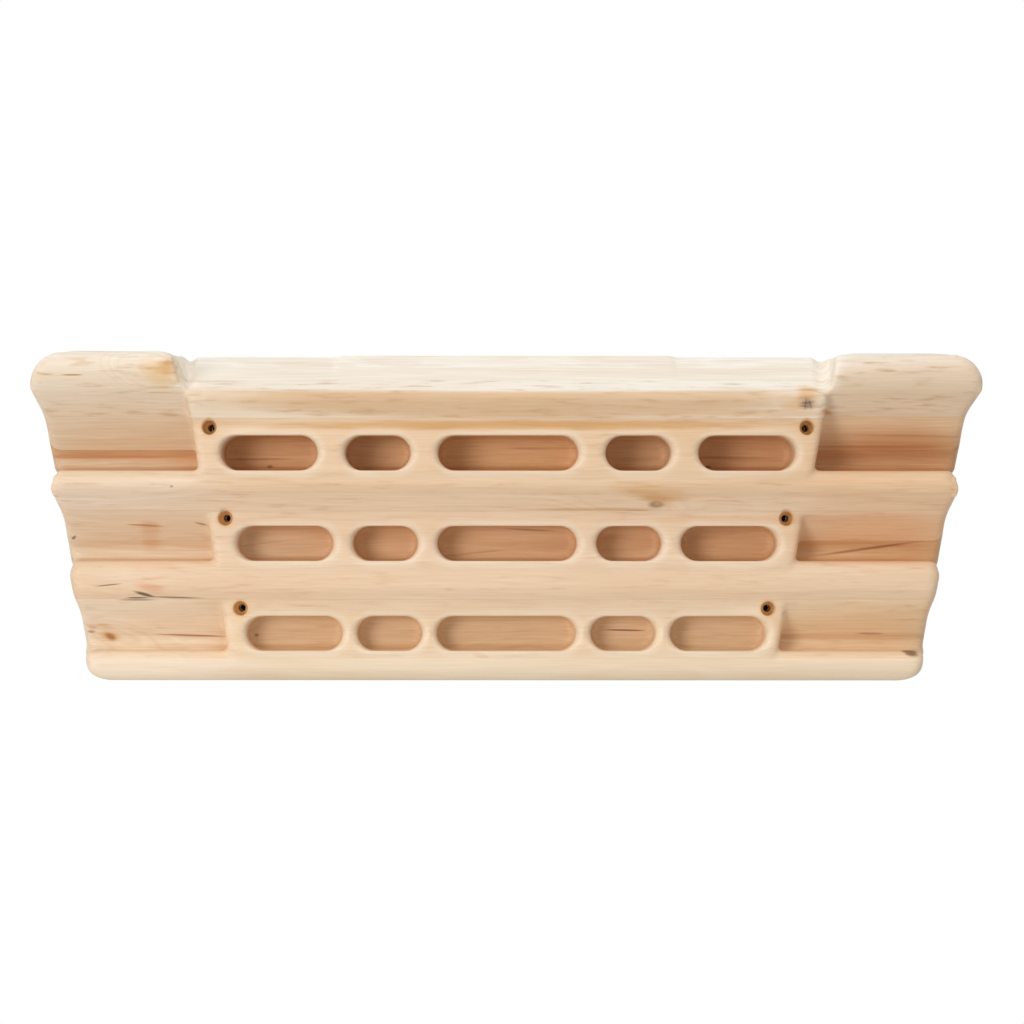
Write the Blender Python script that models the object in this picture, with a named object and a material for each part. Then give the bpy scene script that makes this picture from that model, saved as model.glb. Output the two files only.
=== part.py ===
"""Wooden finger-training board, milled from a blank of three glued layers.

Metres, +Z up, +X to the right as the climber sees it, and the front faces -Y.
The origin is the centre of the flat back, which lies against the wall.
In the sections below, depth is measured out from the wall and height up from the bottom edge.
"""
import math

import bmesh
import bpy
import numpy
from mathutils import Matrix, Vector

# Overall size of the board
BOARD_HEIGHT = 0.2124
TOP_WIDTH = 0.6138
END_SLANT = math.radians(10.3)
UPPER_CORNER_RADIUS = 0.026
LOWER_CORNER_RADIUS = 0.009
CORNER_STEPS = 6
END_ROUNDING = 0.007

# The blank: equal layers glued face to face, each made of staves glued edge to edge
LAYER_THICKNESS = 0.019
LAYER_COUNT = 3
GLUE_LINE = 0.0003
FRONT_TOP_STAVE = 0.0435
MIDDLE_JOINTS = (0.1289, 0.0527, 0.0149)
BACK_JOINTS = (0.1169, 0.0629)

# Rows of holds, each value from the lowest row to the highest
LOWEST_LEDGE = 0.0192
ROW_PITCH = 0.0581
ROW_SETBACK = (0.023, 0.020, 0.006)
ROW_POCKET_DEPTH = (0.019, 0.025, 0.038)
ROW_POCKET_SPACE = (0.0093, 0.0125, 0.0175)

# The rail in front of each ledge; the lowest rail has no hollow under it
RAIL_FRONT = (None, 0.0184, 0.0115)
RAIL_UNDERSIDE_RISE = (None, 0.0072, 0.0150)

# Open edge recesses beyond the middle block
RECESS_LENGTH = 0.0964
RECESS_WEB = 0.014
RECESS_FLOOR_RADIUS = 0.005
SLOPE_FOOT = 0.008
SLOPE_FOOT_RADIUS = 0.006
LIP_RADIUS = 0.0078
RAIL_LOWER_RADIUS = 0.0095
BLOCK_ROUNDING = 0.005

# The ends are waisted along each hand slope, most in its upper part, and stand out at the horns
ROW_WAIST = (0.0014, 0.0022, 0.0021)
WAIST_CLEARANCE = 0.002
WAIST_SKEW = 1.4
WAIST_STEPS = 6
HORN_FLARE = 0.0020

# Pockets, named by how many fingers they take
POCKET_HEIGHT = 0.0225
TWO_FINGERS = 0.042
THREE_FINGERS = 0.062
FOUR_FINGERS = 0.090
POCKET_FLOOR_RADIUS = 0.005
POCKET_MOUTH_FLARE = 0.005
POCKET_ARC_STEPS = 7
FLARE_STEPS = 3

# Horns at the upper corners and the sloping hold between them, measured down from the top edge
HORN_NOSE_DROP = 0.0210
HORN_TOP_RADIUS = 0.0119
HORN_NOSE_RADIUS = 0.024
SLOPER_BACK_DROP = 0.0014
SLOPER_LIP_DROP = 0.0275
SLOPER_FOOT_DROP = 0.0475
SLOPER_LIP_RADIUS = 0.0055

# The outer parts of the sloping hold lie lower, and a round-bottomed groove parts it from each horn.
# The groove gets shallower towards the front.
SLOPER_SIDE_DROP = 0.0010
SLOPER_SIDE_START = 0.109
TROUGH_DROP = 0.0033
TROUGH_INSET = 0.0030
GROOVE_OUTSET = 0.0025
GROOVE_RADIUS = 0.006
GROOVE_BACK_DROP = 0.0041
GROOVE_LIP_DROP = 0.0010

# Screw holes, in the middle block near its slanted sides
HOLE_INSET = 0.0104
HOLE_ABOVE_LEDGE = 0.0274
COUNTERBORE_DIAMETER = 0.009
COUNTERBORE_DEPTH = 0.013
SCREW_HOLE_DIAMETER = 0.0048
HOLE_SIDES = 16

# How fine the facets are, and how far cutters run past the faces that they cut
ROUNDING_STEPS = 3
ARC_STEP = math.radians(15)
OVERSHOOT = 0.004
WELD = 0.00001
FLAT_ANGLE = 0.002

BOARD_THICKNESS = LAYER_THICKNESS * LAYER_COUNT
ROW_FACE_DEPTH = tuple(BOARD_THICKNESS - setback for setback in ROW_SETBACK)
ROW_COUNT = len(ROW_FACE_DEPTH)
TOP_ROW = ROW_COUNT - 1
LEDGES = tuple(LOWEST_LEDGE + row * ROW_PITCH for row in range(ROW_COUNT))
SLOPER_BACK_HEIGHT = BOARD_HEIGHT - SLOPER_BACK_DROP
SLOPER_LIP_HEIGHT = BOARD_HEIGHT - SLOPER_LIP_DROP


def level(height):
    """World Z of a height above the bottom edge."""
    return height - BOARD_HEIGHT / 2


def half_width(height):
    """Distance from the middle of the board to its slanted end at a height."""
    return TOP_WIDTH / 2 - (BOARD_HEIGHT - height) * math.tan(END_SLANT)


def sloper_height(depth):
    """Height of the sloping top hold at a depth out from the wall."""
    return SLOPER_BACK_HEIGHT + (SLOPER_LIP_HEIGHT - SLOPER_BACK_HEIGHT) * depth / BOARD_THICKNESS


def rounded(corners):
    """Outline through corners given as (x, y, radius), with an arc at each corner that has a radius.

    Where two arcs would meet on a short side, both are made smaller to fit it.
    """
    places = [Vector(corner[:2]) for corner in corners]
    sides = [places[(index + 1) % len(places)] - place for index, place in enumerate(places)]
    openings = [side.angle(-sides[index - 1]) for index, side in enumerate(sides)]
    reaches = [corner[2] / math.tan(opening / 2) for corner, opening in zip(corners, openings)]
    shared = [reach + reaches[(index + 1) % len(reaches)] for index, reach in enumerate(reaches)]
    room = [side.length / max(side.length, total) for side, total in zip(sides, shared)]
    outline = []
    for index, corner in enumerate(places):
        fit = min(room[index - 1], room[index])
        radius = corners[index][2] * fit
        reach = reaches[index] * fit
        if not radius:
            outline.append(corner)
            continue
        after = sides[index].normalized()
        before = -sides[index - 1].normalized()
        centre = corner + (before + after).normalized() * radius / math.sin(openings[index] / 2)
        start = corner + before * reach - centre
        turn = (corner + after * reach - centre).angle_signed(start)
        steps = max(1, round(abs(turn) / ARC_STEP))
        for step in range(steps + 1):
            arm = start.copy()
            arm.rotate(Matrix.Rotation(turn * step / steps, 2))
            outline.append(centre + arm)
    return [point for index, point in enumerate(outline) if (point - outline[index - 1]).length > WELD]


def make_collection(name):
    """New collection in the scene."""
    collection = bpy.data.collections.new(name)
    bpy.context.scene.collection.children.link(collection)
    return collection


def add_object(name, mesh, collection):
    """New object at the origin, with its place in its mesh."""
    thing = bpy.data.objects.new(name, mesh)
    collection.objects.link(thing)
    return thing


def mark_cutter(thing):
    """Cutters and guides are drawn as wires and stay out of renders."""
    thing.hide_render = True
    thing.display_type = "WIRE"
    return thing


def extruded(name, outline, half_length, turn, collection):
    """Solid of a flat outline, as a filled curve extruded both ways and made a mesh."""
    curve = bpy.data.curves.new(name + "_outline", "CURVE")
    curve.dimensions = "2D"
    curve.fill_mode = "BOTH"
    curve.extrude = half_length
    spline = curve.splines.new("POLY")
    spline.points.add(len(outline) - 1)
    for point, place in zip(spline.points, outline):
        point.co = (place[0], place[1], 0, 1)
    spline.use_cyclic_u = True
    guide = add_object(name + "_guide", curve, collection)
    guide.matrix_world = turn
    bpy.context.view_layer.update()
    evaluated = guide.evaluated_get(bpy.context.evaluated_depsgraph_get())
    mesh = bpy.data.meshes.new_from_object(evaluated)
    mesh.transform(guide.matrix_world)
    mesh.name = name
    bpy.data.objects.remove(guide)
    shape = bmesh.new()
    shape.from_mesh(mesh)
    bmesh.ops.remove_doubles(shape, verts=shape.verts, dist=WELD)
    bmesh.ops.dissolve_limit(shape, angle_limit=FLAT_ANGLE, verts=shape.verts, edges=shape.edges)
    bmesh.ops.recalc_face_normals(shape, faces=shape.faces)
    shape.to_mesh(mesh)
    shape.free()
    return mark_cutter(add_object(name, mesh, collection))


# Turns a section drawn as (depth, height) so that it runs along X
ALONG_X = Matrix(((0, 0, -1, 0), (-1, 0, 0, 0), (0, 1, 0, -BOARD_HEIGHT / 2), (0, 0, 0, 1)))


def reshape(thing, change):
    """Runs a bmesh edit on an object's mesh."""
    shape = bmesh.new()
    shape.from_mesh(thing.data)
    change(shape)
    shape.to_mesh(thing.data)
    shape.free()


def combine(thing, other, operation):
    """Applies a Boolean with another object and removes that object."""
    modifier = thing.modifiers.new("cut", "BOOLEAN")
    modifier.operation = operation
    modifier.object = other
    modifier.solver = "EXACT"
    bpy.context.view_layer.update()
    evaluated = thing.evaluated_get(bpy.context.evaluated_depsgraph_get())
    mesh = bpy.data.meshes.new_from_object(evaluated)
    thing.modifiers.clear()
    thing.data = mesh
    bpy.data.objects.remove(other)

    def tidy(shape):
        bmesh.ops.remove_doubles(shape, verts=shape.verts, dist=WELD)
        bmesh.ops.dissolve_limit(shape, angle_limit=FLAT_ANGLE, verts=shape.verts, edges=shape.edges)

    reshape(thing, tidy)


def shrunk(section, distance):
    """Section drawn in by a distance on every side but the one against the wall."""
    smaller = []
    for index, point in enumerate(section):
        before = (point - section[index - 1]).normalized()
        after = (section[(index + 1) % len(section)] - point).normalized()
        inward = Vector((-before.y - after.y, before.x + after.x))
        moved = point + inward * distance / (1 + before.dot(after))
        if point.x < WELD:
            moved.x = point.x
            moved.y = point.y + math.copysign(distance, inward.y)
        smaller.append(moved)
    return smaller


def slanted_bar(name, section, inset, radius, cutters):
    """Bar of one section whose ends are slanted like the board's and rounded over all round."""
    loft = bmesh.new()
    stations = []
    for step in range(ROUNDING_STEPS + 1):
        angle = math.pi / 2 * step / ROUNDING_STEPS
        stations.append((radius * (1 - math.cos(angle)), radius * (1 - math.sin(angle))))
    path = [(-1, *station) for station in reversed(stations)] + [(1, *station) for station in stations]
    previous = None
    for side, smaller, back in path:
        ring = []
        for depth, height in shrunk(section, smaller):
            reach = half_width(height) - inset - back / math.cos(END_SLANT)
            ring.append(loft.verts.new((side * reach, -depth, level(height))))
        rim = [loft.edges.new((ring[i - 1], ring[i])) for i in range(len(ring))]
        if previous:
            bmesh.ops.bridge_loops(loft, edges=previous + rim)
        else:
            loft.faces.new(ring)
        previous = rim
    loft.faces.new(ring)
    bmesh.ops.recalc_face_normals(loft, faces=loft.faces)
    mesh = bpy.data.meshes.new(name)
    loft.to_mesh(mesh)
    loft.free()
    return mark_cutter(add_object(name, mesh, cutters))


def corner_drop(height):
    """How far the end draws in at a height, to round the corners of the outline."""
    for radius, past in (
        (UPPER_CORNER_RADIUS, height - (BOARD_HEIGHT - UPPER_CORNER_RADIUS)),
        (LOWER_CORNER_RADIUS, LOWER_CORNER_RADIUS - height),
    ):
        if past > 0:
            return radius - math.sqrt(max(0, radius * radius - past * past))
    return 0


def slope_reach(row):
    """Heights between which the end is waisted along a row's hand slope."""
    if row < TOP_ROW:
        foot = LEDGES[row + 1] - RAIL_FRONT[row + 1]
    else:
        foot = BOARD_HEIGHT - HORN_NOSE_DROP
    return LEDGES[row] + WAIST_CLEARANCE, foot - WAIST_CLEARANCE


def waist(height):
    """How far the end draws in at a height along the hand slopes, or stands out at the horns."""
    for row in range(ROW_COUNT):
        low, high = slope_reach(row)
        if low < height < high:
            rise = ((height - low) / (high - low)) ** WAIST_SKEW
            flare = HORN_FLARE if row == TOP_ROW and rise > 0.5 else 0
            return math.sin(math.pi * rise) ** 2 * (ROW_WAIST[row] + flare) - flare
    return -HORN_FLARE if height >= high else 0


def end_stations():
    """Heights where the outline of the ends bends, each with how far the end draws in there."""
    heights = [0, BOARD_HEIGHT]
    for step in range(CORNER_STEPS):
        turn = 1 - math.sin(math.pi / 2 * step / CORNER_STEPS)
        heights += [BOARD_HEIGHT - UPPER_CORNER_RADIUS * turn, LOWER_CORNER_RADIUS * turn]
    for row in range(ROW_COUNT):
        low, high = slope_reach(row)
        heights += [low + (high - low) * step / WAIST_STEPS for step in range(WAIST_STEPS + 1)]
    return [(height, corner_drop(height) + waist(height)) for height in sorted(heights)]


def edge_section():
    """Section through the open recesses: three rails with a hand slope above each, and the horn."""
    corners = [(0, 0, 0), (ROW_FACE_DEPTH[0], 0, RAIL_LOWER_RADIUS)]
    for row, ledge in enumerate(LEDGES):
        corners.append((ROW_FACE_DEPTH[row], ledge, LIP_RADIUS))
        corners.append((RECESS_WEB, ledge, RECESS_FLOOR_RADIUS))
        corners.append((RECESS_WEB, ledge + SLOPE_FOOT, SLOPE_FOOT_RADIUS))
        if row < TOP_ROW:
            foot = LEDGES[row + 1] - RAIL_FRONT[row + 1]
            corners.append((ROW_FACE_DEPTH[row], foot - RAIL_UNDERSIDE_RISE[row + 1], 0))
            corners.append((ROW_FACE_DEPTH[row + 1], foot, RAIL_LOWER_RADIUS))
    corners.append((BOARD_THICKNESS, BOARD_HEIGHT - HORN_NOSE_DROP, HORN_NOSE_RADIUS))
    corners.append((BOARD_THICKNESS, BOARD_HEIGHT, HORN_TOP_RADIUS))
    corners.append((0, BOARD_HEIGHT, 0))
    return rounded(corners)


def block_section():
    """Section through the middle block: a plain face for each row, and the sloping hold on top."""
    corners = [(0, RAIL_LOWER_RADIUS, 0), (ROW_FACE_DEPTH[0], RAIL_LOWER_RADIUS, 0)]
    for row in range(TOP_ROW):
        foot = LEDGES[row + 1] - RAIL_FRONT[row + 1]
        corners.append((ROW_FACE_DEPTH[row], foot - RAIL_UNDERSIDE_RISE[row + 1], 0))
        corners.append((ROW_FACE_DEPTH[row + 1], foot, RAIL_LOWER_RADIUS))
    corners.append((ROW_FACE_DEPTH[TOP_ROW], BOARD_HEIGHT - SLOPER_FOOT_DROP, 0))
    corners.append((BOARD_THICKNESS, SLOPER_LIP_HEIGHT, SLOPER_LIP_RADIUS))
    corners.append((0, SLOPER_BACK_HEIGHT, 0))
    return rounded(corners)


def make_rails(cutters):
    """The board's full length, with its slanted ends, rounded corners and waists."""
    rails = slanted_bar("rails", edge_section(), 0, END_ROUNDING, cutters)
    stations = end_stations()
    heights, drops = zip(*stations)

    def shape_ends(shape):
        for height in heights[1:-1]:
            everything = list(shape.verts) + list(shape.edges) + list(shape.faces)
            bmesh.ops.bisect_plane(
                shape, geom=everything, dist=WELD, plane_co=(0, 0, level(height)), plane_no=(0, 0, 1)
            )
        for vertex in shape.verts:
            drop = numpy.interp(vertex.co.z + BOARD_HEIGHT / 2, heights, drops)
            vertex.co.x -= drop * math.copysign(1, vertex.co.x)

    reshape(rails, shape_ends)
    return rails


def slope_cutter(name, corners, back_drop, lip_drop, cutters):
    """Cutter drawn as (x, height above its floor), run down the sloping hold.

    Its sides lean like the ends of the board.
    """
    back = SLOPER_BACK_HEIGHT - back_drop
    fall = math.atan2(back - SLOPER_LIP_HEIGHT + lip_drop, BOARD_THICKNESS)
    turn = Matrix.Translation((0, 0, level(back))) @ Matrix.Rotation(math.pi / 2 + fall, 4, "X")
    cutter = extruded(name, rounded(corners), 2 * BOARD_THICKNESS, turn, cutters)

    def lean(shape):
        for vertex in shape.verts:
            inward = (BOARD_HEIGHT / 2 - vertex.co.z) * math.tan(END_SLANT)
            vertex.co.x -= inward * math.copysign(1, vertex.co.x)

    reshape(cutter, lean)
    return cutter


def make_trough(cutters):
    """Cutter for the space between the horns."""
    reach = half_width(BOARD_HEIGHT) - RECESS_LENGTH - TROUGH_INSET
    tall = BOARD_THICKNESS
    corners = [(-reach, 0, 0), (reach, 0, 0), (reach, tall, 0), (-reach, tall, 0)]
    return slope_cutter("trough", corners, TROUGH_DROP, TROUGH_DROP, cutters)


def make_groove(side, cutters):
    """Cutter for the inner side of a horn and the groove at its foot."""
    outer = half_width(BOARD_HEIGHT) - RECESS_LENGTH + GROOVE_OUTSET
    inner = outer - 2 * GROOVE_RADIUS
    tall = BOARD_THICKNESS
    corners = [
        (side * inner, 0, GROOVE_RADIUS),
        (side * outer, 0, GROOVE_RADIUS),
        (side * outer, tall, 0),
        (side * inner, tall, 0),
    ]
    return slope_cutter("groove", corners[::side], GROOVE_BACK_DROP, GROOVE_LIP_DROP, cutters)


def make_block(cutters):
    """The raised middle block, with its slanted sides rolled over."""
    block = slanted_bar("block", block_section(), RECESS_LENGTH, BLOCK_ROUNDING, cutters)
    for side in (-1, 1):
        combine(block, make_sloper_side(side, cutters), "DIFFERENCE")
    return block


def make_sloper_side(side, cutters):
    """Wedge that lowers the outer part of the sloping hold towards the wall."""
    lip = BOARD_THICKNESS - 2 * SLOPER_LIP_RADIUS
    section = [
        (-OVERSHOOT, sloper_height(-OVERSHOOT) - SLOPER_SIDE_DROP * (lip + OVERSHOOT) / lip),
        (lip, sloper_height(lip)),
        (lip, BOARD_HEIGHT + OVERSHOOT),
        (-OVERSHOOT, BOARD_HEIGHT + OVERSHOOT),
    ]
    half_length = (TOP_WIDTH / 2 + OVERSHOOT - SLOPER_SIDE_START) / 2
    turn = Matrix.Translation((side * (SLOPER_SIDE_START + half_length), 0, 0)) @ ALONG_X
    return extruded("sloper_side", section, half_length, turn, cutters)


def pocket_cutter(name, width, row, centre_x, cutters):
    """Round-ended cutter with a rounded floor, and ends that roll over at the mouth."""
    radius = POCKET_HEIGHT / 2
    straight = width / 2 - radius
    face = ROW_FACE_DEPTH[row]
    depth = ROW_POCKET_DEPTH[row]
    middle = level(LEDGES[row] + radius)
    rings = []
    for step in range(FLARE_STEPS + 1):
        angle = math.pi / 2 * step / FLARE_STEPS
        inset = POCKET_FLOOR_RADIUS * (1 - math.sin(angle))
        rings.append((face - depth + POCKET_FLOOR_RADIUS * (1 - math.cos(angle)), -inset, -inset))
    for step in range(FLARE_STEPS + 1):
        angle = math.pi / 2 * step / FLARE_STEPS
        out = POCKET_MOUTH_FLARE * (1 - math.cos(angle))
        rings.append((face - POCKET_MOUTH_FLARE * (1 - math.sin(angle)), out, 0))
    rings.append((face + OVERSHOOT, POCKET_MOUTH_FLARE, 0))
    shape = bmesh.new()
    loop = []
    for end in (1, -1):
        for step in range(POCKET_ARC_STEPS + 1):
            angle = math.pi * step / POCKET_ARC_STEPS - math.pi / 2
            loop.append((end, math.cos(angle) * end, math.sin(angle) * end))
    floor = None
    previous = None
    for out_depth, stretch, swell in rings:
        ring = []
        for end, across, up in loop:
            x = centre_x + end * straight + across * (radius + stretch)
            z = middle + up * (radius + swell)
            ring.append(shape.verts.new((x, -out_depth, z)))
        edges = [shape.edges.new((ring[i], ring[(i + 1) % len(ring)])) for i in range(len(ring))]
        if previous:
            bmesh.ops.bridge_loops(shape, edges=previous + edges)
        else:
            floor = ring
        previous = edges
    shape.faces.new(floor)
    shape.faces.new(ring)
    bmesh.ops.recalc_face_normals(shape, faces=shape.faces)
    mesh = bpy.data.meshes.new(name)
    shape.to_mesh(mesh)
    shape.free()
    return mark_cutter(add_object(name, mesh, cutters))


def pocket_plan(row):
    """Width and centre of each pocket in a row, from the left."""
    space = ROW_POCKET_SPACE[row]
    two = FOUR_FINGERS / 2 + space + TWO_FINGERS / 2
    three = two + TWO_FINGERS / 2 + space + THREE_FINGERS / 2
    return (
        (THREE_FINGERS, -three),
        (TWO_FINGERS, -two),
        (FOUR_FINGERS, 0),
        (TWO_FINGERS, two),
        (THREE_FINGERS, three),
    )


def screw_hole_cutter(row, side, cutters):
    """Stepped cutter for a counterbored screw hole, turned about its own axis."""
    height = LEDGES[row] + HOLE_ABOVE_LEDGE
    face = ROW_FACE_DEPTH[row]
    bore = SCREW_HOLE_DIAMETER / 2
    counterbore = COUNTERBORE_DIAMETER / 2
    profile = (
        (0, OVERSHOOT),
        (bore, OVERSHOOT),
        (bore, -face + COUNTERBORE_DEPTH),
        (counterbore, -face + COUNTERBORE_DEPTH),
        (counterbore, -face - OVERSHOOT),
        (0, -face - OVERSHOOT),
    )
    shape = bmesh.new()
    line = [shape.verts.new((radius, depth, 0)) for radius, depth in profile]
    edges = [shape.edges.new(pair) for pair in zip(line, line[1:])]
    bmesh.ops.spin(
        shape, geom=line + edges, axis=(0, 1, 0), cent=(0, 0, 0),
        angle=2 * math.pi, steps=HOLE_SIDES, use_merge=True,
    )
    bmesh.ops.remove_doubles(shape, verts=shape.verts, dist=WELD)
    bmesh.ops.recalc_face_normals(shape, faces=shape.faces)
    place = Vector((side * (half_width(height) - RECESS_LENGTH - HOLE_INSET), 0, level(height)))
    bmesh.ops.translate(shape, verts=shape.verts, vec=place)
    mesh = bpy.data.meshes.new("screw_hole")
    shape.to_mesh(mesh)
    shape.free()
    return mark_cutter(add_object("screw_hole", mesh, cutters))


def make_milled_shape(cutters):
    """The whole board as one solid, before it is divided into the staves of the blank."""
    board = make_rails(cutters)
    board.name = "milled_shape"
    combine(board, make_trough(cutters), "DIFFERENCE")
    combine(board, make_block(cutters), "UNION")
    for side in (-1, 1):
        combine(board, make_groove(side, cutters), "DIFFERENCE")
    for row in range(ROW_COUNT):
        for width, centre_x in pocket_plan(row):
            combine(board, pocket_cutter("pocket", width, row, centre_x, cutters), "DIFFERENCE")
        for side in (-1, 1):
            combine(board, screw_hole_cutter(row, side, cutters), "DIFFERENCE")
    return board


def wood(name, colour):
    """Sanded alder without a coat."""
    material = bpy.data.materials.new(name)
    material.use_nodes = True
    shader = material.node_tree.nodes["Principled BSDF"]
    shader.inputs["Base Color"].default_value = (*colour, 1)
    shader.inputs["Roughness"].default_value = 0.62
    shader.inputs["Metallic"].default_value = 0
    return material


def add_stave(name, layer, low, high, colour, board, parts):
    """One stave of the blank, cut to the milled shape."""
    near = layer * LAYER_THICKNESS
    far = near + LAYER_THICKNESS
    gap = GLUE_LINE / 2
    near = near + gap if layer else -OVERSHOOT
    far = far - gap if layer < LAYER_COUNT - 1 else far + OVERSHOOT
    low = low + gap if low else -OVERSHOOT
    high = high - gap if high < BOARD_HEIGHT else high + OVERSHOOT
    shape = bmesh.new()
    bmesh.ops.create_cube(shape, size=1)
    size = Vector((TOP_WIDTH + 2 * OVERSHOOT, far - near, high - low))
    bmesh.ops.scale(shape, verts=shape.verts, vec=size)
    centre = Vector((0, -(near + far) / 2, level((low + high) / 2)))
    bmesh.ops.translate(shape, verts=shape.verts, vec=centre)
    mesh = bpy.data.meshes.new(name)
    shape.to_mesh(mesh)
    shape.free()
    stave = add_object(name, mesh, parts)
    stave.data.materials.append(wood(name + "_alder", colour))
    milled = stave.modifiers.new("milled", "BOOLEAN")
    milled.operation = "INTERSECT"
    milled.object = board
    milled.solver = "EXACT"
    return stave


def add_layer(layer, names, joints, colours, board, parts):
    """The staves of one layer, from the top down."""
    heights = (BOARD_HEIGHT, *joints, 0)
    for name, high, low, colour in zip(names, heights, heights[1:], colours):
        add_stave(name, layer, low, high, colour, board, parts)


for leftover in list(bpy.data.objects):
    bpy.data.objects.remove(leftover)

hangboard = make_collection("hangboard")
cutting = make_collection("cutters")
milled_board = make_milled_shape(cutting)

add_layer(
    0, ("back_top_stave", "back_centre_stave", "back_bottom_stave"), BACK_JOINTS,
    ((0.44, 0.24, 0.13), (0.55, 0.34, 0.21), (0.62, 0.42, 0.27)), milled_board, hangboard,
)
add_layer(
    1, ("middle_top_stave", "middle_centre_stave", "middle_lower_stave", "middle_bottom_stave"),
    MIDDLE_JOINTS,
    ((0.67, 0.49, 0.34), (0.75, 0.55, 0.39), (0.73, 0.53, 0.36), (0.82, 0.67, 0.48)),
    milled_board, hangboard,
)
add_layer(
    2, ("front_upper_stave", "front_lower_stave"), (BOARD_HEIGHT - FRONT_TOP_STAVE,),
    ((0.86, 0.75, 0.57), (0.76, 0.56, 0.40)), milled_board, hangboard,
)
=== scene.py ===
"""Looks of a wooden finger-training board: its sanded form, the alder of its nine staves, and the studio.

Metres, +Z up, and the front faces -Y. In the sections, depth is measured out from the wall
and height up from the bottom edge.
"""

import math

import bmesh
import bpy
from mathutils import Matrix, Vector


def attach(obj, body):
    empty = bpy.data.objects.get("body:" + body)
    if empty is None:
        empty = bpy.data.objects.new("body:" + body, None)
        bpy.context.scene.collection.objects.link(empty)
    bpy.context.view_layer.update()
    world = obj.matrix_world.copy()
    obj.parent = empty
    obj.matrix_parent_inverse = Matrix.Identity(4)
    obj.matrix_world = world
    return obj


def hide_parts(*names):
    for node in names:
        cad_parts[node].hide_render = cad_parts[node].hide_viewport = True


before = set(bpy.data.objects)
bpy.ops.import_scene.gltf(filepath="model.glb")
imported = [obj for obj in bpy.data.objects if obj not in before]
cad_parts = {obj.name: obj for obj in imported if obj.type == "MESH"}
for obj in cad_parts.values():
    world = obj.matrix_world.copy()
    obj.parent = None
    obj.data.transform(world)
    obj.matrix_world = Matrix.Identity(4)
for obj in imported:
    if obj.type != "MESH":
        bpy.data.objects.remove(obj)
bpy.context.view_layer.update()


# Rails and horns
# The board's full length: a glued alder blank, routed into three rails with a finger ledge on each,
# a hand slope over each ledge, and a horn on top. Its slanted ends are rolled over all round.
BOARD_HEIGHT = 0.2124
BOARD_DEPTH = 0.057
TOP_WIDTH = 0.6138
END_SLANT = math.radians(10.3)
END_ROLL = 0.007
BEHIND_WALL = 0.012
LEDGES = (0.0192, 0.0773, 0.1354)
ROW_FACES = (0.034, 0.037, 0.051)
SLOPE_TOPS = (0.0517, 0.1089)
RAIL_FEET = (0.0589, 0.1239)
RAIL_RADIUS = 0.0095
LIP_RADII = (0.0078, 0.0078, 0.0076)
WEB = 0.014
WEB_HEIGHT = 0.008
ROLL_STEPS = 6
ARC_STEP = math.radians(7)
CLOSE = 0.00001


def level(height):
    return height - BOARD_HEIGHT / 2


def half_width(height):
    return TOP_WIDTH / 2 - (BOARD_HEIGHT - height) * math.tan(END_SLANT)


def section_face(corners):
    """Flat face across the board, through corners of (depth, height, radius)."""
    shape = bmesh.new()
    ring = [shape.verts.new((0, -depth, level(height))) for depth, height, radius in corners]
    places = [vertex.co.copy() for vertex in ring]
    shape.faces.new(ring)
    for index, vertex in enumerate(ring):
        radius = corners[index][2]
        if radius:
            before = places[index - 1] - places[index]
            after = places[(index + 1) % len(places)] - places[index]
            opening = before.angle(after)
            bmesh.ops.bevel(
                shape, geom=[vertex], affect="VERTICES", offset_type="OFFSET",
                offset=radius / math.tan(opening / 2), segments=max(1, round((math.pi - opening) / ARC_STEP)),
                profile=0.5, material=-1,
            )
    return shape


def finish_solid(name, shape):
    bmesh.ops.remove_doubles(shape, verts=shape.verts, dist=CLOSE)
    bmesh.ops.recalc_face_normals(shape, faces=shape.faces)
    mesh = bpy.data.meshes.new(name)
    shape.to_mesh(mesh)
    shape.free()
    solid = bpy.data.objects.new(name, mesh)
    bpy.context.scene.collection.objects.link(solid)
    return solid


def slanted_bar(corners, inset, roll):
    """Bar of one section along X, with slanted ends rolled over all round."""
    shape = section_face(corners)
    section = list(shape.faces)
    grown = bmesh.ops.extrude_face_region(shape, geom=section, use_keep_orig=True)
    ends = section + [part for part in grown["geom"] if isinstance(part, bmesh.types.BMFace)]
    for side, end in zip((-1, 1), ends):
        for vertex in end.verts:
            height = vertex.co.z + BOARD_HEIGHT / 2
            vertex.co.x = side * (half_width(height) - inset - roll / math.cos(END_SLANT))
    bmesh.ops.recalc_face_normals(shape, faces=shape.faces)
    for end in ends:
        for step in range(ROLL_STEPS):
            angle = math.pi / 2 * step / ROLL_STEPS
            after = math.pi / 2 * (step + 1) / ROLL_STEPS
            bmesh.ops.inset_region(
                shape, faces=[end], use_even_offset=True,
                thickness=roll * (math.cos(angle) - math.cos(after)),
                depth=roll * (math.sin(after) - math.sin(angle)),
            )
    return shape


def rail_foot(row):
    """Corners under a rail, where it stands out from the slope below."""
    return [(ROW_FACES[row - 1], SLOPE_TOPS[row - 1], 0), (ROW_FACES[row], RAIL_FEET[row - 1], RAIL_RADIUS)]


rail_corners = [(-BEHIND_WALL, 0, 0), (ROW_FACES[0], 0, RAIL_RADIUS)]
for row, (ledge, face) in enumerate(zip(LEDGES, ROW_FACES)):
    if row:
        rail_corners += rail_foot(row)
    rail_corners += [(face, ledge, LIP_RADII[row]), (WEB, ledge, 0.005), (WEB, ledge + WEB_HEIGHT, 0.006)]
rail_corners += [
    (BOARD_DEPTH, 0.1914, 0.0235),
    (BOARD_DEPTH, BOARD_HEIGHT, 0.0117),
    (-BEHIND_WALL, BOARD_HEIGHT, 0),
]
rails_shape = slanted_bar(rail_corners, 0, END_ROLL)

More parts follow.
